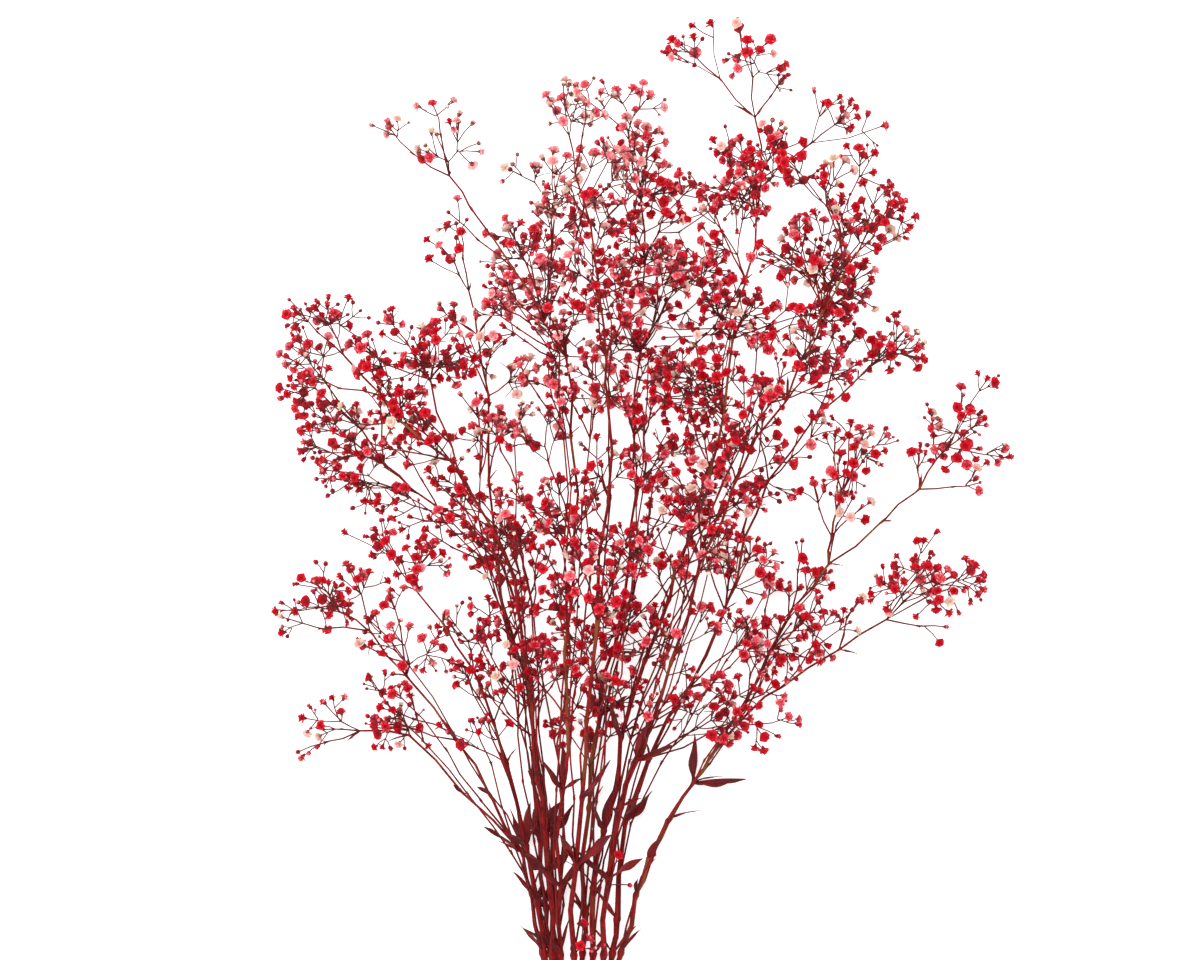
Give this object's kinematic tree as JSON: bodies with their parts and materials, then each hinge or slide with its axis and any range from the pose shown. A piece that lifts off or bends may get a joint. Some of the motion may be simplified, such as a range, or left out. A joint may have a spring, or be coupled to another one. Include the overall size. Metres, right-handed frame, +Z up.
{
  "type": "gypsophila bunch",
  "caption": "Bunch of dyed, dried gypsophila lying down: thin forking stems with narrow leaves and clouds of tiny double blooms, held near their cut ends by an elastic band.",
  "frame": {"origin": "on the surface that the bunch lies on, at the middle of the flat spot under the elastic band", "axes": "+Y along the bunch from the cut ends towards the blooms, +Z up from the surface, +X across the bunch"},
  "size_m": [0.3449, 0.5907, 0.14],
  "materials": {
    "dyed_gypsophila": "matt dyed and dried plant, dark red stems and leaves with red to cream blooms",
    "elastic_band": "plain tan rubber"
  },
  "bodies": {
    "root": {"stem_01": "dyed_gypsophila", "stem_02": "dyed_gypsophila", "stem_03": "dyed_gypsophila", "stem_04": "dyed_gypsophila", "stem_05": "dyed_gypsophila", "stem_06": "dyed_gypsophila", "stem_07": "dyed_gypsophila", "stem_08": "dyed_gypsophila", "stem_09": "dyed_gypsophila", "stem_10": "dyed_gypsophila", "stem_11": "dyed_gypsophila", "stem_12": "dyed_gypsophila", "binding_band": "elastic_band"}
  },
  "joints": []
}
